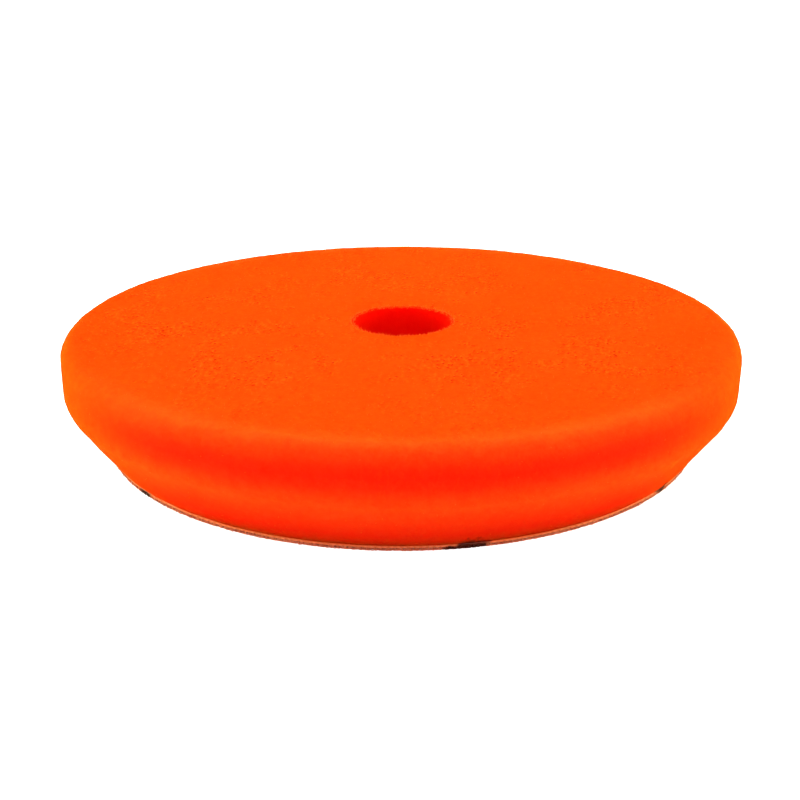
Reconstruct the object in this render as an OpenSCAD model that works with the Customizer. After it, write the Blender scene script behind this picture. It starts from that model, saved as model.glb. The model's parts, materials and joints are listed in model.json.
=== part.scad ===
// Foam polishing pad for a car polisher, lying on its loop backing with the working face up.
// Millimetres. +Z is up, and the origin is the centre of the face that the pad rests on.

/* [Foam] */
// Diameter of the foam at its widest, over the upright side
face_d = 140; // [100:1:200]
// Height of the foam, from the bond film to the working face
foam_h = 21.4; // [17:0.1:40]
// Height of the upright side, down from the working face
side_h = 10.3; // [7:0.1:14]
// How far the bevel comes in, from the side to the foot
bevel_inset = 8; // [3:0.1:20]
// Radius of the working face's outer edge
edge_r = 3; // [0.5:0.1:3.5]
// Radius of the shoulder between the side and the bevel
shoulder_r = 3.5; // [1:0.5:8]

/* [Centre hole] */
// Diameter of the hole, punched through the foam and the backing together
hole_d = 20.4; // [8:0.1:40]
// Radius of the hole's rim at the working face
rim_r = 0.6; // [0.2:0.1:2]

/* [Backing] */
// How far the edge of the backing stays inside the foam's foot
backing_inset = 0.2; // [0:0.1:2]
// Thickness of the bond film that glues the fabric to the foam
film_t = 0.15; // [0.1:0.05:0.5]
// Thickness of the knitted ground of the loop fabric
ground_t = 0.3; // [0.2:0.05:1]
// Height of the loops that stand off the ground
pile_h = 0.55; // [0.3:0.05:3]

/* [Hidden] */
$fn = 180;

// Steps along each rounded corner of the foam's outline
corner_steps = 10;
// How far a cutter runs past the faces that it cuts
cut_over = 1;

hole_r = hole_d / 2;
face_r = face_d / 2;
foot_r = face_r - bevel_inset;
backing_r = foot_r - backing_inset;

// The layers stack up from the loops, which rest on the table
ground_z = pile_h;
film_z = ground_z + ground_t;
foam_z = film_z + film_t;
top_z = foam_z + foam_h;
shoulder_z = top_z - side_h;

function unit(v) = v / norm(v);

// The arc of radius r that rounds corner b of the path a, b, c, as points from a's side to c's side
function corner(a, b, c, r) =
    let (
        to_a = unit(a - b),
        to_c = unit(c - b),
        half_angle = acos(to_a * to_c) / 2,
        middle = b + unit(to_a + to_c) * r / sin(half_angle),
        start = b + to_a * r / tan(half_angle) - middle,
        end = b + to_c * r / tan(half_angle) - middle,
        swing = 180 - 2 * half_angle
    )
    [for (i = [0:corner_steps])
        let (t = i / corner_steps)
        middle + (start * sin((1 - t) * swing) + end * sin(t * swing)) / sin(swing)];

// Half of the foam's cross-section: across the foot, up the bevel and the side, over the face, down the hole
module foam_section() {
    foot_in = [hole_r, foam_z];
    foot_out = [foot_r, foam_z];
    shoulder = [face_r, shoulder_z];
    face_out = [face_r, top_z];
    face_in = [hole_r, top_z];
    polygon(concat(
        [foot_in, foot_out],
        corner(foot_out, shoulder, face_out, shoulder_r),
        corner(shoulder, face_out, face_in, edge_r),
        corner(face_out, face_in, foot_in, rim_r)
    ));
}

// A flat layer of the backing, with the centre hole through it
module layer(z, thickness) {
    translate([0, 0, z])
        difference() {
            cylinder(h = thickness, r = backing_r);
            translate([0, 0, -cut_over])
                cylinder(h = thickness + 2 * cut_over, r = hole_r);
        }
}

// Open-cell polyurethane foam, one piece from the working face to the bond film
module foam_body() {
    color("orangered")
        rotate_extrude()
            foam_section();
}

// Hot-melt film that bonds the loop fabric to the foot of the foam
module bond_film() {
    color("bisque")
        layer(film_z, film_t);
}

// Knitted ground of the loop fabric, which carries the loops
module loop_ground() {
    color("gainsboro")
        layer(ground_z, ground_t);
}

// Nylon loops, drawn as the solid ring that they fill, from the ground down to the table
module loop_pile() {
    color("lightgray")
        layer(0, pile_h);
}

foam_body();
bond_film();
loop_ground();
loop_pile();
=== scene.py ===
import json
import math

import bpy
import numpy as np
from mathutils import Matrix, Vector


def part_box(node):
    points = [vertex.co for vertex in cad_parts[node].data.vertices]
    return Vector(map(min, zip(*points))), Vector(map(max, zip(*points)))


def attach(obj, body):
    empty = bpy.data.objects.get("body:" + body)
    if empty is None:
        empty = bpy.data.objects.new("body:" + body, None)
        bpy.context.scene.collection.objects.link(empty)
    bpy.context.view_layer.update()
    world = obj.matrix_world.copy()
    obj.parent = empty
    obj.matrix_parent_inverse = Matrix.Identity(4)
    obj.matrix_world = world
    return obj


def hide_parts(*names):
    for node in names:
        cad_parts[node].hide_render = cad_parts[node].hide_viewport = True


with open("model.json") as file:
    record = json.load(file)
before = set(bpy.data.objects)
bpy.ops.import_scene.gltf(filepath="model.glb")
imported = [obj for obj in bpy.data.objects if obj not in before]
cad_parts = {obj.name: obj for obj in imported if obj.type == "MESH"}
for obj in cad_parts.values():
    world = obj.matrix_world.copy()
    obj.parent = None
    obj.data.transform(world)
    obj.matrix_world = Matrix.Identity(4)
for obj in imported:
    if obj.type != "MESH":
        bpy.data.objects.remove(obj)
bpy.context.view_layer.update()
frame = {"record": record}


# ------------------------------------------------------------------------------------------
# Foam body: one slab of open-cell polyurethane foam, cut round, bevelled down to its foot and
# punched through the middle. The cut opens its cells, so every face is a mat of fine pores,
# with a bigger void here and there and a ragged rim where the punch tore the foam.
# ------------------------------------------------------------------------------------------

foam_low, foam_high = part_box("foam_body")
film_low, film_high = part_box("bond_film")
bore = next(m for m in frame["record"]["mounts"] if m["name"] == "centre_hole")

FACE_R = foam_high.x
FOAM_FOOT_Z = foam_low.z
FOAM_TOP_Z = foam_high.z
BACKING_R = film_high.x
HOLE_R = bore["dims"]["r_mm"] / 1000
# The backing is cut this much smaller than the foam's foot
BACKING_INSET = 0.0002
FOOT_R = BACKING_R + BACKING_INSET
# Height of the upright side, then the radii that round the edge of the face, the shoulder over
# the bevel, the rim of the hole and the edge of the foot
SIDE_H = 0.0103
EDGE_R = 0.003
SHOULDER_R = 0.0035
RIM_R = 0.0006
FOOT_EDGE_R = 0.00015

# Columns of the mesh round the pad where it is widest, and the step between its rings
FOAM_COLUMNS = 768
FOAM_STEP = 0.00056
# Rings inside these radii have a half and a quarter of the columns
HALF_COLUMNS_R = 0.045
QUARTER_COLUMNS_R = 0.0215
# The film hides the foam from here inwards of the foot's edge, and one ring in ten stays there
HIDDEN_INSET = 0.002
HIDDEN_RINGS = 10
# Points that an arc of the outline is drawn with before it is cut into steps
ARC_POINTS = 16

# Unevenness of the cut faces, as depth, pitch and seed: two waves of the knife, then two sizes
# of lump in the foam
UNEVEN = [
    (0.00010, 0.021, 11),
    (0.00006, 0.0065, 12),
    (0.00005, 0.0022, 13),
    (0.00005, 0.0011, 14),
]
# Bigger pores: the cubes that may hold one, the share that do, and a pore's size and depth
VOID_PITCH = 0.0030
VOID_SHARE = 0.16
VOID_R = 0.00085
VOID_DEPTH = 0.00028
# How far from the hole's rim the punch has dragged the foam, how finely it is torn and how deep
TORN_REACH = 0.0011
TORN_PITCH = 0.0007
TORN_DEPTH = 0.00026
# The foam is even at the foot, where the film holds it, and as uneven as elsewhere this far up
EVEN_HEIGHT = 0.0015
# No part of the unevenness stands further out than this
FURTHEST_OUT = 0.00012
# Added to lattice coordinates, so that none is below zero
LATTICE_SHIFT = 512.0


def rounded_path(corners, radii, step):
    """Points along a path of straight legs whose corners are arcs of the given radii.

    An arc touches both legs at radius / tan(half the angle between them) from the corner, and a
    quadratic bow through those two points and the corner, pulled in by its weight, is the arc.
    The points are a step apart, and the path's own ends are kept.
    """
    corners = np.asarray(corners, float)
    pieces = [corners[:1]]
    for before, corner, after, radius in zip(corners, corners[1:], corners[2:], radii):
        back = (before - corner) / np.linalg.norm(before - corner)
        ahead = (after - corner) / np.linalg.norm(after - corner)
        half = math.acos(float(back @ ahead)) / 2
        start = corner + back * radius / math.tan(half)
        end = corner + ahead * radius / math.tan(half)
        t = np.linspace(0, 1, ARC_POINTS)[:, None]
        weight = math.sin(half)
        parts = (1 - t) ** 2, 2 * t * (1 - t) * weight, t**2
        bow = parts[0] * start + parts[1] * corner + parts[2] * end
        pieces.append(bow / sum(parts))
    pieces.append(corners[-1:])
    path = np.concatenate(pieces)
    along = np.concatenate([[0], np.cumsum(np.linalg.norm(np.diff(path, axis=0), axis=1))])
    places = np.linspace(0, along[-1], max(2, round(along[-1] / step) + 1))
    return np.stack([np.interp(places, along, path[:, k]) for k in (0, 1)], axis=1)


def lattice_number(cell, salt):
    """A number from 0 to 1 for each whole-numbered lattice point, always the same: its three
    coordinates are mixed by odd multipliers, and the middle bits of the result are the number."""
    x, y, z = (cell[..., k].astype(np.uint64) for k in range(3))
    mixed = x * np.uint64(73856093) ^ y * np.uint64(19349663) ^ z * np.uint64(83492791)
    mixed = (mixed + np.uint64(salt)) * np.uint64(2654435761)
    mixed = (mixed ^ (mixed >> np.uint64(15))) * np.uint64(2246822519)
    return ((mixed >> np.uint64(13)) & np.uint64(0xFFFFF)).astype(float) / 0xFFFFF


def soft_noise(points, pitch, salt):
    """Smooth noise from -1 to 1: lattice numbers a pitch apart, blended between the eight
    lattice points round each point by the curve 3 t^2 - 2 t^3."""
    place = points / pitch + LATTICE_SHIFT
    cell = np.floor(place)
    t = place - cell
    t = t * t * (3 - 2 * t)
    total = np.zeros(len(points))
    for corner in np.ndindex(2, 2, 2):
        share = np.prod(np.where(corner, t, 1 - t), axis=1)
        total += share * lattice_number(cell + corner, salt)
    return 2 * total - 1


def open_pores(points, pitch, share, radius, salt):
    """How deep each point lies in an open pore: 1 at its middle, 0 from its radius outwards.

    Space is cut into cubes of the pitch. The given share of them holds one pore each, at a
    random place and with a random size from half the radius to all of it.
    """
    place = points / pitch + LATTICE_SHIFT
    cell = np.floor(place)
    depth = np.zeros(len(points))
    for step in np.ndindex(3, 3, 3):
        near = cell + np.array(step) - 1
        middle = near + np.stack([lattice_number(near, salt + k) for k in (1, 2, 3)], axis=1)
        size = radius / pitch * (0.5 + 0.5 * lattice_number(near, salt + 4))
        there = lattice_number(near, salt) < share
        away = np.linalg.norm(place - middle, axis=1) / size
        depth = np.maximum(depth, np.where(there, np.clip(1 - away**2, 0, 1), 0))
    return depth


def ring_faces(starts, counts):
    """Triangles that join each ring of points to the next one.

    Rings with the same count are joined by quads, cut in two. Where the next ring has twice
    the points, each long edge takes a fan of three triangles.
    """
    faces = []
    for a, b, n, m in zip(starts, starts[1:], counts, counts[1:]):
        if n > m:
            faces.append(ring_faces([b, a], [m, n])[:, ::-1])
            continue
        i = np.arange(n)
        j = (i + 1) % n
        if n == m:
            faces += [np.stack([a + i, a + j, b + j], 1), np.stack([a + i, b + j, b + i], 1)]
        else:
            low, middle, high = b + 2 * i, b + 2 * i + 1, b + 2 * j
            faces += [np.stack([a + i, middle, low], 1), np.stack([a + i, a + j, middle], 1)]
            faces.append(np.stack([a + j, high, middle], 1))
    return np.concatenate(faces)


def put_in_mesh(name, points, faces):
    """A new object whose mesh has these points and faces, shaded smooth."""
    mesh = bpy.data.meshes.new(name)
    mesh.from_pydata(points.tolist(), [], faces.tolist())
    mesh.polygons.foreach_set("use_smooth", np.ones(len(faces), bool))
    mesh.update()
    made = bpy.data.objects.new(name, mesh)
    bpy.context.scene.collection.objects.link(made)
    return made


def foam_rings():
    """Radius, height and outward direction of each ring of the foam, and its column count,
    from the foot up the bevel and the side, over the face and down the hole."""
    foot_in = (HOLE_R, FOAM_FOOT_Z)
    foot_out = (FOOT_R, FOAM_FOOT_Z)
    shoulder = (FACE_R, FOAM_TOP_Z - SIDE_H)
    face_out = (FACE_R, FOAM_TOP_Z)
    face_in = (HOLE_R, FOAM_TOP_Z)
    outline = rounded_path(
        [foot_in, foot_out, shoulder, face_out, face_in, foot_in],
        [FOOT_EDGE_R, SHOULDER_R, EDGE_R, RIM_R],
        FOAM_STEP,
    )
    at_foot = np.isclose(outline[:, 1], FOAM_FOOT_Z, rtol=0, atol=1e-6)
    hidden = at_foot & (outline[:, 0] < FOOT_R - HIDDEN_INSET)
    outline = outline[~hidden | (np.arange(len(outline)) % HIDDEN_RINGS == 0)][:-1]
    along = np.roll(outline, -1, axis=0) - np.roll(outline, 1, axis=0)
    outward = np.stack([along[:, 1], -along[:, 0]], axis=1)
    outward /= np.linalg.norm(outward, axis=1)[:, None]
    radius = outline[:, 0]
    split = np.where(radius > HALF_COLUMNS_R, 1, np.where(radius > QUARTER_COLUMNS_R, 2, 4))
    return radius, outline[:, 1], outward, FOAM_COLUMNS // split


def foam_mesh():
    """The rings swept round the axis, then moved along their outward direction by waves of the
    knife, lumps of the foam, its bigger pores and the tears of the punch."""
    radius, height, outward, columns = foam_rings()
    turn = np.concatenate([np.arange(n) / n for n in columns]) * 2 * math.pi
    r, z, out_r, out_z = (np.repeat(v, columns) for v in (radius, height, *outward.T))
    points = np.stack([r * np.cos(turn), r * np.sin(turn), z], axis=1)

    uneven = sum(depth * soft_noise(points, pitch, salt) for depth, pitch, salt in UNEVEN)
    voids = open_pores(points, VOID_PITCH, VOID_SHARE, VOID_R, salt=20)
    to_rim = np.hypot(r - HOLE_R, z - FOAM_TOP_Z)
    torn = np.exp(-((to_rim / TORN_REACH) ** 2)) * soft_noise(points, TORN_PITCH, salt=15)
    moved = uneven - VOID_DEPTH * voids + TORN_DEPTH * torn
    moved *= np.clip((z - FOAM_FOOT_Z) / EVEN_HEIGHT, 0, 1)
    moved = np.minimum(moved, FURTHEST_OUT)
    r = r + out_r * moved
    z = z + out_z * moved
    points = np.stack([r * np.cos(turn), r * np.sin(turn), z], axis=1)

    starts = np.concatenate([[0], np.cumsum(columns)])
    loop_starts = np.concatenate([starts[:-1], starts[:1]])
    loop_columns = np.concatenate([columns, columns[:1]])
    return points, ring_faces(loop_starts, loop_columns)


class Wire:
    """An output of a node in a material, on which arithmetic adds Math nodes.

    A Wire without an output stands for the material's empty tree, from which the first nodes
    are added.
    """

    def __init__(self, tree, output=None):
        self.tree = tree
        self.output = output

    def add(self, kind, settings=None, inputs=None, output=0):
        """A new node of a kind. Its settings come first, then the values or links of its
        inputs. A ramp's stops are a setting: places and colours, from low to high."""
        node = self.tree.nodes.new(kind)
        settings = dict(settings or {})
        stops = settings.pop("stops", [])
        for name, value in settings.items():
            setattr(node, name, value)
        for number, (place, colour) in enumerate(stops):
            elements = node.color_ramp.elements
            stop = elements[number] if number < 2 else elements.new(place)
            stop.position = place
            stop.color = (*colour, 1)
        for name, value in (inputs or {}).items():
            if isinstance(value, Wire):
                self.tree.links.new(value.output, node.inputs[name])
            else:
                node.inputs[name].default_value = value
        return Wire(self.tree, node.outputs[output] if len(node.outputs) else None)

    def maths(self, operation, *operands):
        """Math on numbers."""
        return self.add("ShaderNodeMath", {"operation": operation}, dict(enumerate(operands)))

    def vector(self, operation, *operands, output=0):
        """Vector Math. Its second output is the number that an operation such as LENGTH gives."""
        settings = {"operation": operation}
        inputs = dict(enumerate(operands))
        return self.add("ShaderNodeVectorMath", settings, inputs, output)

    def __add__(self, other):
        return self.maths("ADD", self, other)

    __radd__ = __add__

    def __sub__(self, other):
        return self.maths("SUBTRACT", self, other)

    def __rsub__(self, other):
        return self.maths("SUBTRACT", other, self)

    def __mul__(self, other):
        return self.maths("MULTIPLY", self, other)

    __rmul__ = __mul__

    def __truediv__(self, other):
        return self.maths("DIVIDE", self, other)

    def __pow__(self, other):
        return self.maths("POWER", self, other)

    def between(self, low, high):
        """0 at low and 1 at high, with a smooth change between them. Low may be the greater."""
        inputs = {"Value": self, "From Min": low, "From Max": high}
        return self.add("ShaderNodeMapRange", {"interpolation_type": "SMOOTHSTEP"}, inputs)

    def colours(self, low, high):
        """The first colour where this number is 0, the second where it is 1."""
        inputs = {0: self, 6: low, 7: high}
        return self.add("ShaderNodeMix", {"data_type": "RGBA"}, inputs, output=2)

    def noise(self, places, pitch, detail=2.0, roughness=0.5):
        """Noise from 0 to 1 with lumps about a pitch across."""
        inputs = {"Vector": places, "Scale": 1 / pitch, "Detail": detail, "Roughness": roughness}
        return self.add("ShaderNodeTexNoise", {}, inputs)

    def cells(self, places, pitch, feature="F1"):
        """Distance from the middle of the nearest cell, for cells about a pitch across."""
        inputs = {"Vector": places, "Scale": 1 / pitch}
        return self.add("ShaderNodeTexVoronoi", {"feature": feature}, inputs)


def rgba(hole_shade_red, green, blue):
    """A colour for a socket, from its three linear shares of light."""
    return (hole_shade_red, green, blue, 1.0)


def new_material(name):
    """A material with an empty tree, the tree as a Wire, and the piece's own coordinates."""
    material = bpy.data.materials.new(name)
    material.use_nodes = True
    material.node_tree.nodes.clear()
    tree = Wire(material.node_tree)
    return material, tree, tree.add("ShaderNodeTexCoord", output=3)


def finish_material(tree, surface, height, depth):
    """Joins a shader with these sockets to the material's output. The height, a number from
    0 to 1 over the surface, raises it in a Bump by the depth in metres."""
    bump = tree.add("ShaderNodeBump", {}, {"Height": height, "Distance": depth, "Strength": 1.0})
    shader = tree.add("ShaderNodeBsdfPrincipled", {}, {**surface, "Normal": bump})
    tree.add("ShaderNodeOutputMaterial", {}, {"Surface": shader})


def near_marks(places, marks, tree):
    """1 in the middle of each mark, 0 outside them all. A mark is an ellipsoid, given by its
    middle and its half sizes, with a frayed outline."""
    total = 0.0
    frayed = (tree.noise(places, pitch=0.0012, detail=3.0) - 0.5) * 1.2
    for middle, size in marks:
        share = tree.vector("DIVIDE", tree.vector("SUBTRACT", places, middle), size)
        from_middle = tree.vector("LENGTH", share, output=1)
        total = (from_middle + frayed).between(1.0, 0.45) + total
    return tree.maths("MINIMUM", total, 1.0)


def round_the_foot(degrees, height):
    """The point on the foam's foot at this turn from the front, to the right, and height."""
    turn = math.radians(degrees)
    return (FOOT_R * math.sin(turn), -FOOT_R * math.cos(turn), height)


# Dark marks on the edge of the foot and the backing under it: turn from the front, height and
# half sizes of each
DARK_MARKS = [
    (round_the_foot(11.2, 0.0004), (0.0037, 0.0030, 0.0025)),
    (round_the_foot(7.6, 0.0001), (0.0019, 0.0019, 0.0006)),
    (round_the_foot(-51.3, 0.0003), (0.0025, 0.0025, 0.0014)),
    (round_the_foot(52.0, 0.0012), (0.0026, 0.0026, 0.0015)),
]

# Size of the cells that are cut open wide, the size and depth of the noise that bends them,
# how many times narrower along X, Y and Z they are than that size, and the step from a lip's
# painted highlight to the painted shade in the middle of the pore that it lies behind
OPEN_PITCH = 0.0016
BEND_PITCH = 0.0007
BEND = (0.0008, 0.0008, 0.0008)
NARROWER = (1.8, 0.85, 1.0)
LIP_HIGHLIGHT_STEP = (0.0001, -0.00045, 0.0)
# The plain face fades into the side's bands of painted light and painted shade between these
# distances inside the pad's edge
FACE_FADE = (0.007, 0.002)
# The bands of painted light and painted shade fade into the plain orange between these shares
# of the way to the left and right
SHADE_BAND_ASIDE_FADE = (0.55, 0.94)
# The hole's painted shade, a deep red, fades out between these distances outside its wall
HOLE_SHADE_FADE = (0.0001, 0.0010)
# Fewer cells are open in front: they thin out between these places along Y
FRONT_FADE = (-0.030, -0.055)
# How far the bands of painted light and painted shade wander up and down the side
SHADE_BAND_WANDER = 0.0016

# How much painted shade the orange takes at heights up the side, from 0 for painted light to 1
# for painted shade. The foot has painted shade near the table, the shoulder has painted light
# bounced up from the table, the upright side has painted shade, and the rounded edge has a
# painted highlight.
PAINTED_SHADE_BY_HEIGHT = [
    (0.0010, 0.60),
    (0.0021, 0.86),
    (0.0039, 0.96),
    (0.0064, 0.78),
    (0.0089, 0.54),
    (0.0114, 0.32),
    (0.0130, 0.40),
    (0.0152, 0.86),
    (0.0170, 1.00),
    (0.0185, 0.90),
    (0.0200, 0.62),
    (0.0213, 0.36),
    (0.0221, 0.06),
]


def foam_material():
    """Orange foam with a few cells open wide, in loose clusters: painted shade in the middle and
    a painted highlight on the lip.

    The skimmed face is a plain orange and its rounded edge has a painted highlight. Down the cut
    side, bands of painted light and painted shade follow the height, and the punched hole has
    painted shade in deep red.
    """
    material, tree, places = new_material("orange_foam")
    x, y, z = (
        tree.add("ShaderNodeSeparateXYZ", {}, {0: places}, output=k) for k in range(3)
    )
    radius = (x * x + y * y) ** 0.5

    pore = tree.cells(places, pitch=0.00050, feature="SMOOTH_F1")
    fine = tree.noise(places, pitch=0.00030, detail=3.0, roughness=0.65)
    drift = tree.noise(places, pitch=0.0016, detail=3.0)
    broad = tree.noise(places, pitch=0.016)
    wall = (pore.between(0.15, 0.60) * 0.5 + fine * 0.5).between(0.2, 0.8)
    tone = (wall - 0.5) * 0.15 + (drift - 0.5) * 0.9 + (broad - 0.5) * 0.4 + 0.5

    # How far a point is past the face's flat part, outwards and then down the side
    past = radius + FOAM_TOP_Z - z
    on_side = past.between(FACE_R - FACE_FADE[0], FACE_R - FACE_FADE[1])
    plain = tone.colours(rgba(0.95, 0.0285, 0.0004), rgba(0.98, 0.0550, 0.0020))
    # painted light and painted shade: a lit and a shaded copy of the orange for the side's bands
    painted_light_orange = tone.colours(rgba(0.96, 0.046, 0.0022), rgba(0.99, 0.079, 0.0058))
    painted_shade_orange = tone.colours(rgba(0.93, 0.0085, 0.0012), rgba(0.97, 0.0165, 0.0032))
    rise = FOAM_TOP_Z - FOAM_FOOT_Z
    stops = [((height - FOAM_FOOT_Z) / rise, (depth,) * 3) for height, depth in PAINTED_SHADE_BY_HEIGHT]
    wander = (tree.noise(places, pitch=0.009) - 0.5) * SHADE_BAND_WANDER
    height_share = (z + wander - FOAM_FOOT_Z) / rise
    # the share of painted shade at each height, 0 for the painted light
    depth = tree.add("ShaderNodeValToRGB", {"stops": stops}, {0: height_share})
    # The bands of painted light and painted shade fade into the plain orange towards the pad's
    # left and right
    aside = tree.maths("ABSOLUTE", x) / radius
    painted_band_share = on_side * (1 - aside.between(*SHADE_BAND_ASIDE_FADE) * 0.9)
    colour = painted_band_share.colours(plain, (depth * on_side).colours(painted_light_orange, painted_shade_orange))
    # painted shade: deep red, for the light that bounces round inside the hole
    hole = radius.between(HOLE_R + HOLE_SHADE_FADE[1], HOLE_R + HOLE_SHADE_FADE[0])
    hole_shade_red = tone.colours(rgba(0.79, 0.0015, 0.0001), rgba(0.85, 0.0060, 0.0006))
    colour = hole.colours(colour, hole_shade_red)

    # Open cells are bent out of round by noise; each has painted shade in its middle and a
    # painted highlight on a lip behind it
    inputs = {"Vector": places, "Scale": 1 / BEND_PITCH}
    bend = tree.add("ShaderNodeTexNoise", {}, inputs, output=1)
    bent = tree.vector("MULTIPLY", tree.vector("MULTIPLY_ADD", bend, BEND, places), NARROWER)
    behind = tree.vector("ADD", bent, LIP_HIGHLIGHT_STEP)
    wide, close = (tree.noise(places, pitch) for pitch in (0.022, 0.006))
    clusters = (wide * 0.55 + close * 0.45).between(0.46, 0.58) * 0.85 + 0.15
    # Fewer of them are open in front, and fewer still on the cut side
    in_front = y.between(*FRONT_FADE)
    showing = clusters * (1 - in_front * 0.6) * (1 - on_side * 0.75) * (1 - hole)
    # painted shade in the open pores' middles, which also sink as pits, and a painted highlight
    # on their lips, which also rise
    pore_pit_and_shade = tree.cells(bent, OPEN_PITCH).between(0.30, 0.18) * showing
    lip_and_highlight = tree.cells(behind, OPEN_PITCH).between(0.24, 0.14) * showing * (1 - on_side * 0.6)
    # Between them the cut ends of closed cells make a fine grain, lighter and darker by turns
    grain = tree.noise(bent, pitch=0.0011)
    lighter = grain.between(0.52, 0.70) * showing * 0.65
    darker = grain.between(0.48, 0.30) * showing * 0.55
    colour = lighter.colours(colour, rgba(0.99, 0.086, 0.0050))
    colour = darker.colours(colour, rgba(0.86, 0.014, 0.0002))
    colour = (lip_and_highlight * 0.85).colours(colour, rgba(0.99, 0.098, 0.0060))
    colour = (pore_pit_and_shade * 0.9).colours(colour, rgba(0.60, 0.005, 0.0002))
    mark = near_marks(places, DARK_MARKS, tree) * 0.85
    colour = mark.colours(colour, rgba(0.14, 0.010, 0.0030))
    surface = {
        "Base Color": colour,
        "Roughness": 0.95,
        "Specular IOR Level": 0.0,
        "Subsurface Weight": 0.9,
        "Subsurface Radius": (1.0, 0.16, 0.05),
        "Subsurface Scale": 0.012,
    }
    finish_material(tree, surface, wall * 0.25 + lip_and_highlight * 0.4 - pore_pit_and_shade, depth=0.00014)
    return material


foam = put_in_mesh("foam_pad", *foam_mesh())
foam.data.materials.append(foam_material())
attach(foam, "root")
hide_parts("foam_body")


# ------------------------------------------------------------------------------------------
# Torn struts: where a blade has cut through a foam cell, broken ends of its struts stand up
# from the surface. They are thickest round the rim of the hole, where the punch tore the foam.
# ------------------------------------------------------------------------------------------

RIM_STRUTS = 900
FACE_STRUTS = 2400
SIDE_STRUTS = 700
STRUT_LENGTH = 0.00060
STRUT_R = 0.000065
STRUT_POINTS = 3
# How deep a strut is rooted, and the weights of the random ways in which it leans and bends
STRUT_ROOT = 0.00006
STRUT_LEAN = 1.1
STRUT_BEND = 0.5
# Least and most of a strut's length, as shares, and the share that is left away from the rim
LENGTH_SHARES = (0.4, 1.0)
SHORTER = 0.7
# The rim's struts stand no lower than this under the face
RIM_DROP = 0.0005
# A surface that points up by more than this share is the face
FACING_UP = 0.9
# The side's struts start this far above the foot
ABOVE_FOOT = 0.0004


def strut_mesh(roots, outward, lengths):
    """Curved three-sided spikes from these roots.

    Along a spike t goes from 0 to 1. It leaves along a direction between outward and a random
    one, bends towards a second random one by t squared, and narrows to a point at t = 1.
    """
    n = len(roots)
    wild = rng.normal(size=(2, n, 3))
    wild /= np.linalg.norm(wild, axis=2, keepdims=True)
    start = outward + STRUT_LEAN * wild[0]
    start /= np.linalg.norm(start, axis=1, keepdims=True)
    t = np.arange(STRUT_POINTS) / STRUT_POINTS
    line = roots[:, None] - STRUT_ROOT * outward[:, None] + lengths[:, None, None] * (
        t[:, None] * start[:, None] + STRUT_BEND * t[:, None] ** 2 * wild[1][:, None]
    )
    tip = roots + lengths[:, None] * (start + STRUT_BEND * wild[1])
    side = np.cross(start, wild[1])
    side /= np.linalg.norm(side, axis=1, keepdims=True)
    other = np.cross(start, side)
    turn = np.arange(3) / 3 * 2 * math.pi
    ring = np.cos(turn)[:, None] * side[:, None] + np.sin(turn)[:, None] * other[:, None]
    points = line[:, :, None] + STRUT_R * (1 - t)[:, None, None] * ring[:, None]
    points = np.concatenate([points.reshape(n, -1, 3), tip[:, None]], axis=1)

    i, k = np.meshgrid(np.arange(STRUT_POINTS - 1) * 3, np.arange(3), indexing="ij")
    a, b = i + k, i + (k + 1) % 3
    walls = np.stack([a, b, b + 3, a, b + 3, a + 3], axis=-1).reshape(-1, 3)
    last = (STRUT_POINTS - 1) * 3
    cap = np.array([[last + j, last + (j + 1) % 3, last + 3] for j in range(3)])
    one = np.concatenate([walls, cap])
    faces = np.arange(n)[:, None, None] * (last + 4) + one
    return points.reshape(-1, 3), faces.reshape(-1, 3)


def strut_roots():
    """Where struts stand: on random points of the foam's own mesh near the hole's rim, over the
    face and on the side and bevel. Returns the roots, outward directions and lengths."""
    count = len(foam.data.vertices)
    points = np.empty(count * 3)
    outward = np.empty(count * 3)
    foam.data.vertices.foreach_get("co", points)
    foam.data.vertices.foreach_get("normal", outward)
    points, outward = points.reshape(-1, 3), outward.reshape(-1, 3)
    radius = np.hypot(points[:, 0], points[:, 1])
    at_rim = np.hypot(radius - HOLE_R, points[:, 2] - FOAM_TOP_Z) < TORN_REACH
    at_rim &= points[:, 2] > FOAM_TOP_Z - RIM_DROP
    on_face = (outward[:, 2] > FACING_UP) & ~at_rim & (radius > HOLE_R)
    on_side = (radius > FOOT_R) & ~on_face & (points[:, 2] > FOAM_FOOT_Z + ABOVE_FOOT)
    chosen = np.concatenate(
        [
            rng.choice(np.flatnonzero(at_rim), RIM_STRUTS),
            rng.choice(np.flatnonzero(on_face), FACE_STRUTS),
            rng.choice(np.flatnonzero(on_side), SIDE_STRUTS),
        ]
    )
    share = np.where(at_rim[chosen], 1.0, SHORTER)
    lengths = STRUT_LENGTH * share * rng.uniform(*LENGTH_SHARES, len(chosen))
    return points[chosen], outward[chosen], lengths


def strut_material():
    """The foam's orange, paler: painted light, for the light that a thin strut lets through."""
    material, tree, places = new_material("torn_struts")
    patch = tree.noise(places, pitch=0.0015)
    # painted light: paler than the foam for the light through a thin strut
    colour = patch.colours(rgba(0.97, 0.055, 0.0030), rgba(0.99, 0.120, 0.0120))
    surface = {"Base Color": colour, "Roughness": 0.8, "Specular IOR Level": 0.1}
    finish_material(tree, surface, patch, depth=0.00001)
    return material


rng = np.random.default_rng(3)
struts = put_in_mesh("torn_struts", *strut_mesh(*strut_roots()))
struts.data.materials.append(strut_material())
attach(struts, "root")
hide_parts("foam_body")


# ------------------------------------------------------------------------------------------
# Bond film: a hot-melt sheet that glues the loop fabric to the foot of the foam. Heat and
# pressure have squeezed a thin lip of it out all round the edge.
# ------------------------------------------------------------------------------------------

FILM_LIP = 0.00010
# Columns round each layer of the backing, rings across it, and points round its outer edge
BACKING_COLUMNS = 512
BACKING_RINGS = 24
EDGE_POINTS = 5
# How far a layer's outer edge wanders in and out, over what length, and how far in it fades
WANDER = 0.00012
WANDER_PITCH = 0.0045
WANDER_REACH = 0.001


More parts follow.
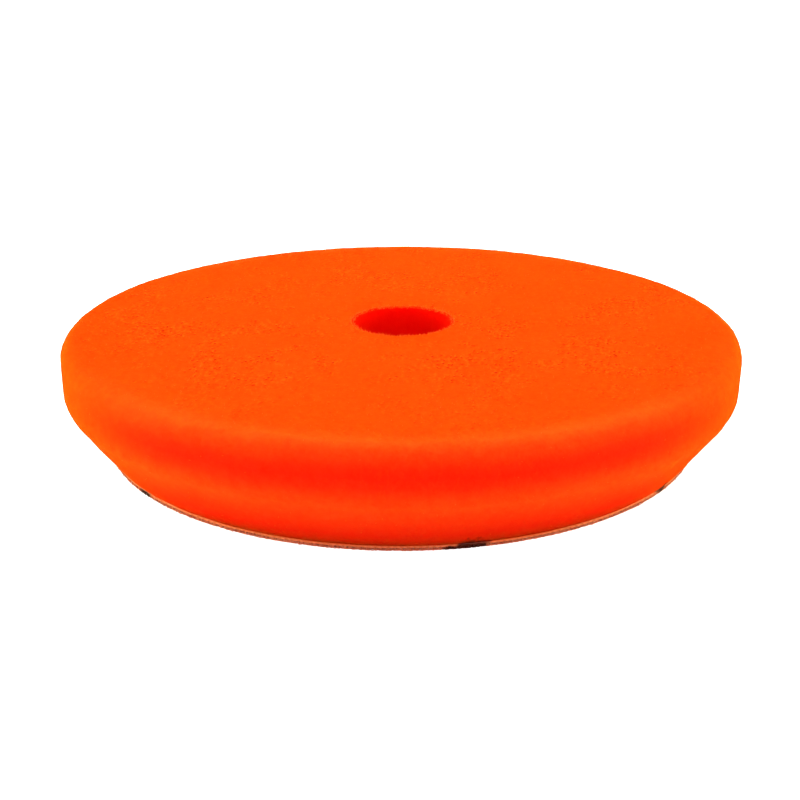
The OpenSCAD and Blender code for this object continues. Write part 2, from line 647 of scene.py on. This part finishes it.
def backing_layer(low, high, bulge, salt):
    """A flat ring from the hole to the backing's edge, between two heights. It is swept from
    its outline: across the underside, round the outer edge, back over the top and down the
    hole. The outer edge bulges by the bulge and wanders in and out by soft noise."""
    middle = (low + high) / 2
    half = (high - low) / 2
    across = np.linspace(HOLE_R, BACKING_R, BACKING_RINGS)
    swing = np.linspace(-math.pi / 2, math.pi / 2, EDGE_POINTS + 2)[1:-1]
    radius = np.concatenate([across, BACKING_R + bulge * np.cos(swing), across[::-1]])
    flat = np.ones(BACKING_RINGS)
    height = np.concatenate([low * flat, middle + half * np.sin(swing), high * flat])
    turn = np.arange(BACKING_COLUMNS) / BACKING_COLUMNS * 2 * math.pi
    r = np.repeat(radius, BACKING_COLUMNS)
    z = np.repeat(height, BACKING_COLUMNS)
    a = np.tile(turn, len(radius))
    edge = np.stack([BACKING_R * np.cos(a), BACKING_R * np.sin(a), 0 * a], axis=1)
    near_edge = np.clip((r - BACKING_R) / WANDER_REACH + 1, 0, 1)
    r = r + WANDER * soft_noise(edge, WANDER_PITCH, salt) * near_edge
    points = np.stack([r * np.cos(a), r * np.sin(a), z], axis=1)
    starts = np.append(np.arange(len(radius)) * BACKING_COLUMNS, 0)
    return points, ring_faces(starts, np.full(len(starts), BACKING_COLUMNS))


def film_material():
    """Hot-melt film, clear enough for the foam's orange to show, and cloudy where it is thick.
    Part of its orange is painted light bounced off the foam.
    """
    material, tree, places = new_material("bond_film")
    cloud = tree.noise(places, pitch=0.003, detail=3.0)
    beads = tree.noise(places, pitch=0.0008)
    mark = near_marks(places, DARK_MARKS, tree)
    # painted light: part of this orange is light bounced off the foam
    colour = cloud.colours(rgba(0.88, 0.070, 0.0030), rgba(0.97, 0.130, 0.0080))
    colour = mark.colours(colour, rgba(0.14, 0.012, 0.0030))
    surface = {
        "Base Color": colour,
        "Roughness": beads * 0.25 + 0.35,
        "Subsurface Weight": 0.5,
        "Subsurface Radius": (1.0, 0.6, 0.4),
        "Subsurface Scale": 0.0008,
    }
    finish_material(tree, surface, beads, depth=0.00008)
    return material


film = put_in_mesh(
    "bond_film_sheet", *backing_layer(film_low.z, film_high.z, FILM_LIP, salt=31)
)
film.data.materials.append(film_material())
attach(film, "root")
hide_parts("bond_film")


# ------------------------------------------------------------------------------------------
# Loop ground: the knitted nylon cloth that carries the loops. It is cut round with the foam
# and glued flat to the film, and its cut edge is a little frayed.
# ------------------------------------------------------------------------------------------

ground_low, ground_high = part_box("loop_ground")
# How far the soft edge of the cloth swells out, and the pitch of its ribs and of its rows
GROUND_SWELL = 0.0001
RIB_PITCH = 0.0011
ROW_PITCH = 0.0008


def knit_material():
    """Warp-knitted nylon: ribs along Y crossed by finer rows, with a faint mottle. Its orange
    tint is painted light bounced off the foam.
    """
    material, tree, places = new_material("loop_ground")
    across, along = (
        tree.add("ShaderNodeSeparateXYZ", {}, {0: places}, output=k) for k in (0, 1)
    )
    rib = tree.maths("SINE", across * (2 * math.pi / RIB_PITCH)) * 0.5 + 0.5
    row = tree.maths("SINE", along * (2 * math.pi / ROW_PITCH) + rib * 2.0) * 0.5 + 0.5
    mottle = tree.noise(places, pitch=0.002, detail=3.0)
    relief = rib * 0.6 + row * 0.4
    tone = relief * 0.6 + mottle * 0.4
    mark = near_marks(places, DARK_MARKS, tree)
    # painted light: the orange in these colours is light bounced off the foam
    colour = tone.colours(rgba(0.66, 0.115, 0.032), rgba(0.88, 0.23, 0.100))
    colour = mark.colours(colour, rgba(0.080, 0.010, 0.003))
    surface = {"Base Color": colour, "Roughness": 0.85, "Specular IOR Level": 0.2}
    finish_material(tree, surface, relief, depth=0.00015)
    return material


ground = put_in_mesh(
    "loop_ground_cloth", *backing_layer(ground_low.z, ground_high.z, GROUND_SWELL, salt=41)
)
ground.data.materials.append(knit_material())
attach(ground, "root")
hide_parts("loop_ground")
math.pi * (BACKING_R**2 - HOLE_R**2)


# ------------------------------------------------------------------------------------------
# Loop pile: thousands of small nylon loops that stand off the ground, which the hooks of a
# backing plate catch. Brushing leans each one its own way.
# ------------------------------------------------------------------------------------------

pile_low, pile_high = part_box("loop_pile")
LOOP_PITCH = 0.00080
LOOP_WIDTH = 0.00075
YARN_R = 0.000085
LOOP_POINTS = 6
YARN_SIDES = 3
# How far a loop's ends are sunk in the ground
LOOP_ROOT = 0.00005
# No loop stands nearer to the hole than this
HOLE_CLEARANCE = 0.0006
# Rows of loops along the cut edge, the loops in each, and the step from row to row
EDGE_ROWS = 3
EDGE_LOOPS = 960
EDGE_STEP = 0.00030
# How far in from the edge the outer row stands, and how much further in a loop may be
EDGE_INSET = 0.00003
EDGE_SCATTER = 0.00012
# Rows of the lattice are nearer together than its columns, so there are this many times more
MORE_ROWS = 1.16
# How far a loop is moved in the field and along its row at the edge, as shares of the pitch,
# and the spread of an edge loop's heading
FIELD_SHIFT = 0.33
EDGE_SHIFT = 0.3
EDGE_TURN = 0.3
# A loop's least and most width and reach, as shares, first in the field, then in the edge rows
WIDTH_SHARES = (0.75, 1.2)
REACH_SHARES = (0.72, 1.0)
EDGE_REACH_SHARES = (0.95, 1.0)
# How far a loop leans for its drop, and how far outwards an edge loop flares
LEAN = 0.22
EDGE_LEAN = 0.08
EDGE_FLARE = 0.15
# The power that makes a loop round or square, and how far its sides belly out
ROUNDNESS = 0.7
EDGE_ROUNDNESS = 0.45
BELLY = 0.25


def loop_places(pitch):
    """Where loops stand, as x, y, heading and whether each one is in the edge rows.

    The field is a three-way lattice over the backing, each loop moved at random by a third of
    the pitch. Where the cloth was cut, close rows of loops follow its edge.
    """
    count = int(2 * BACKING_R / pitch) + 2
    rows = count * MORE_ROWS
    column, row = np.meshgrid(np.arange(count), np.arange(int(rows)), indexing="ij")
    x = (column + (row % 2) / 2 - count / 2) * pitch
    y = (row - rows / 2) * pitch * math.sqrt(3) / 2
    x, y = x.ravel(), y.ravel()
    x = x + rng.uniform(-FIELD_SHIFT, FIELD_SHIFT, x.shape) * pitch
    y = y + rng.uniform(-FIELD_SHIFT, FIELD_SHIFT, y.shape) * pitch
    r = np.hypot(x, y)
    kept = (r < BACKING_R - EDGE_ROWS * EDGE_STEP) & (r > HOLE_R + HOLE_CLEARANCE)
    x, y = x[kept], y[kept]
    heading = rng.uniform(0, math.pi, len(x))

    number = np.arange(EDGE_ROWS * EDGE_LOOPS)
    shift = rng.uniform(-EDGE_SHIFT, EDGE_SHIFT, len(number))
    turn = (number + shift) / EDGE_LOOPS * 2 * math.pi
    edge_r = BACKING_R - EDGE_INSET - EDGE_STEP * (number // EDGE_LOOPS)
    edge_r = edge_r - rng.uniform(0, EDGE_SCATTER, len(number))
    x = np.concatenate([x, edge_r * np.cos(turn)])
    y = np.concatenate([y, edge_r * np.sin(turn)])
    along_edge = turn + math.pi / 2 + rng.normal(0, EDGE_TURN, len(turn))
    heading = np.concatenate([heading, along_edge])
    at_edge = np.arange(len(x)) >= len(x) - len(turn)
    return x, y, heading, at_edge


def loops_mesh(x, y, heading, at_edge):
    """Loops of yarn at these places.

    Along a loop t goes from 0 to 1. It swings across by -cos(pi t), wider in the middle, and
    hangs down from the ground by a power of sin(pi t), so that a smaller power is a squarer
    loop. The yarn's three sides stand round that line, by the level direction square to the
    heading and the direction square to that and to the yarn. Loops in the edge rows are
    squarer, reach further down and lean less.
    """
    n = len(x)
    heading = heading[:, None]
    width = LOOP_WIDTH / 2 * rng.uniform(*WIDTH_SHARES, n)[:, None]
    edge_reach = rng.uniform(*EDGE_REACH_SHARES, n)
    reach = np.where(at_edge, edge_reach, rng.uniform(*REACH_SHARES, n))[:, None]
    drop = (pile_high.z + LOOP_ROOT - pile_low.z - YARN_R) * reach
    lean = np.where(at_edge, EDGE_LEAN, LEAN)[:, None]
    flare = np.where(at_edge, EDGE_FLARE, 0.0) / np.hypot(x, y)
    lean_x = rng.normal(0, 1, n)[:, None] * lean + (flare * x)[:, None]
    lean_y = rng.normal(0, 1, n)[:, None] * lean + (flare * y)[:, None]
    t = np.linspace(0, 1, LOOP_POINTS)[None, :]
    swing = -np.cos(math.pi * t) * (1 + BELLY * np.sin(math.pi * t)) * width
    down = np.sin(math.pi * t) ** np.where(at_edge, EDGE_ROUNDNESS, ROUNDNESS)[:, None]
    down = down / down.max(axis=1, keepdims=True) * drop
    line = np.stack(
        [
            x[:, None] + np.cos(heading) * swing + lean_x * down,
            y[:, None] + np.sin(heading) * swing + lean_y * down,
            pile_high.z + LOOP_ROOT - down,
        ],
        axis=2,
    )
    along = np.gradient(line, axis=1)
    along /= np.linalg.norm(along, axis=2, keepdims=True)
    sideways = np.stack([-np.sin(heading), np.cos(heading), 0 * heading], axis=2)
    sideways = np.broadcast_to(sideways, line.shape)
    outward = np.cross(along, sideways)
    turn = np.arange(YARN_SIDES) / YARN_SIDES * 2 * math.pi
    ring = (
        line[:, :, None]
        + YARN_R * np.cos(turn)[:, None] * sideways[:, :, None]
        + YARN_R * np.sin(turn)[:, None] * outward[:, :, None]
    )
    per_loop = LOOP_POINTS * YARN_SIDES
    i = np.arange(LOOP_POINTS - 1)[:, None] * YARN_SIDES
    k = np.arange(YARN_SIDES)[None, :]
    a, b = i + k, i + (k + 1) % YARN_SIDES
    walls = np.stack([a, b, b + YARN_SIDES, a, b + YARN_SIDES, a + YARN_SIDES], -1)
    ends = np.array([[2, 1, 0], [per_loop - 3, per_loop - 2, per_loop - 1]])
    one = np.concatenate([walls.reshape(-1, 3), ends])
    faces = (np.arange(n)[:, None, None] * per_loop + one).reshape(-1, 3)
    return ring.reshape(-1, 3), faces


def pile_material():
    """Nylon yarn, a little darker in patches, its salmon orange partly painted light bounced off
    the foam.
    """
    material, tree, places = new_material("loop_pile")
    patch = tree.noise(places, pitch=0.004, detail=3.0)
    mark = near_marks(places, DARK_MARKS, tree)
    # painted light: part of this salmon orange is light bounced off the foam
    colour = patch.colours(rgba(0.58, 0.11, 0.050), rgba(0.88, 0.25, 0.14))
    colour = mark.colours(colour, rgba(0.080, 0.010, 0.003))
    surface = {"Base Color": colour, "Roughness": 0.7, "Specular IOR Level": 0.15}
    finish_material(tree, surface, patch, depth=0.00002)
    return material


rng = np.random.default_rng(7)
loop_sites = loop_places(LOOP_PITCH)
quarter = (loop_sites[0] > 0).astype(int) + 2 * (loop_sites[1] > 0).astype(int)
yarn = pile_material()
for number in range(4):
    here = [value[quarter == number] for value in loop_sites]
    loops = put_in_mesh(f"loops_quarter_{number + 1}", *loops_mesh(*here))
    loops.data.materials.append(yarn)
    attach(loops, "root")
    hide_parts("loop_pile")


# ------------------------------------------------------------------------------------------
# Studio: a plain white table, a big soft box overhead, two in front and one at each side, and
# the camera at the viewing angle, low and close in front of the pad. Round them is a wall that
# the eye sees as white, though its light is dim.
# ------------------------------------------------------------------------------------------

TABLE_HALF = 5.0
TABLE_WHITE = 0.78
TABLE_GLOW = 0.95
# The glow starts at the backing's edge, between these distances inside and outside it
GLOW_INSIDE = 0.0004
GLOW_OUTSIDE = 0.0001
# How bright the wall round the table is as a lamp, and to the eye
WALL_LIGHT = 0.36
WALL_WHITE = 1.0
# Tints of the low lamps: warm in front, and yellow-green at the sides, which keeps the pad's ends
# from turning red
FRONT_TINT = (1.2, 0.8, 0.7)
SIDE_TINT = (0.75, 1.15, 0.65)


def floor():
    """The table: matt white, and lit from inside for the eye alone, so that it stays white to
    the horizon and the shadow under the pad is faint."""
    corner = np.array([[-1, -1, 0], [1, -1, 0], [1, 1, 0], [-1, 1, 0]]) * TABLE_HALF
    made = put_in_mesh("floor", corner, np.array([[0, 1, 2], [0, 2, 3]]))
    material, tree, places = new_material("floor_white")
    seen = tree.add("ShaderNodeLightPath", output=0)
    from_middle = tree.vector("LENGTH", places, output=1)
    beyond_pad = from_middle.between(BACKING_R - GLOW_INSIDE, BACKING_R + GLOW_OUTSIDE)
    matt = tree.add("ShaderNodeBsdfDiffuse", {}, {"Color": rgba(*[TABLE_WHITE] * 3)})
    glow = tree.add("ShaderNodeEmission", {}, {"Strength": TABLE_GLOW})
    lit = tree.add("ShaderNodeAddShader", {}, {0: matt, 1: glow})
    shader = tree.add("ShaderNodeMixShader", {}, {0: seen * beyond_pad, 1: matt, 2: lit})
    tree.add("ShaderNodeOutputMaterial", {}, {"Surface": shader})
    made.data.materials.append(material)


def soft_box(name, place, target, width, height, watts, tint=(1, 1, 1)):
    """A rectangular lamp at a place, turned to face a target, with its light's tint."""
    lamp = bpy.data.lights.new(name, "AREA")
    lamp.shape = "RECTANGLE"
    lamp.size = width
    lamp.size_y = height
    lamp.energy = watts
    lamp.color = tint
    made = bpy.data.objects.new(name, lamp)
    bpy.context.scene.collection.objects.link(made)
    from_target = np.array(place) - np.array(target)
    made.location = place
    made.rotation_euler = (
        math.atan2(float(np.hypot(*from_target[:2])), float(from_target[2])),
        0,
        math.atan2(float(from_target[0]), float(-from_target[1])),
    )


floor()
soft_box("overhead_box", (0.0, 0.05, 0.95), (0, 0, 0), 0.9, 0.8, 6.8)
soft_box("front_box", (0.0, -0.75, 0.75), (0, 0, 0), 0.6, 0.4, 3.6)
soft_box("low_front_box", (0.0, -0.75, 0.12), (0, 0, 0.01), 0.5, 0.2, 0.5, FRONT_TINT)
soft_box("left_box", (-0.75, 0.05, 0.13), (0, 0, 0.01), 0.5, 0.3, 8.4, SIDE_TINT)
soft_box("right_box", (0.75, 0.05, 0.13), (0, 0, 0.01), 0.5, 0.3, 7.2, SIDE_TINT)

world = bpy.data.worlds.new("studio_white")
world.use_nodes = True
world.node_tree.nodes.clear()
tree = Wire(world.node_tree)
dim = tree.add("ShaderNodeBackground", {}, {"Color": rgba(1, 1, 1), "Strength": WALL_LIGHT})
white = tree.add("ShaderNodeBackground", {}, {"Color": rgba(1, 1, 1), "Strength": WALL_WHITE})
seen = tree.add("ShaderNodeLightPath", output=0)
shader = tree.add("ShaderNodeMixShader", {}, {0: seen, 1: dim, 2: white})
tree.add("ShaderNodeOutputWorld", {}, {"Surface": shader})
bpy.context.scene.world = world
bpy.context.scene.view_settings.view_transform = "Standard"

LENS_MM = 55.9
CAMERA_BACK = 0.2516
CAMERA_UP = 0.0982
# Degrees that the camera looks down, turns to the right and leans
CAMERA_DIP = 20.42
CAMERA_PAN = 0.99
CAMERA_LEAN = 0.28
CAMERA_SHIFT = -0.0286

camera = bpy.data.objects.new("camera", bpy.data.cameras.new("camera"))
bpy.context.scene.collection.objects.link(camera)
camera.data.lens = LENS_MM
camera.data.shift_x = CAMERA_SHIFT
camera.data.clip_start = 0.01
camera.location = (0, -CAMERA_BACK, CAMERA_UP)
pan = Matrix.Rotation(math.radians(-CAMERA_PAN), 3, "Z")
dip = Matrix.Rotation(math.radians(90 - CAMERA_DIP), 3, "X")
lean = Matrix.Rotation(math.radians(CAMERA_LEAN), 3, "Z")
camera.rotation_euler = (pan @ dip @ lean).to_euler()
bpy.context.scene.camera = camera
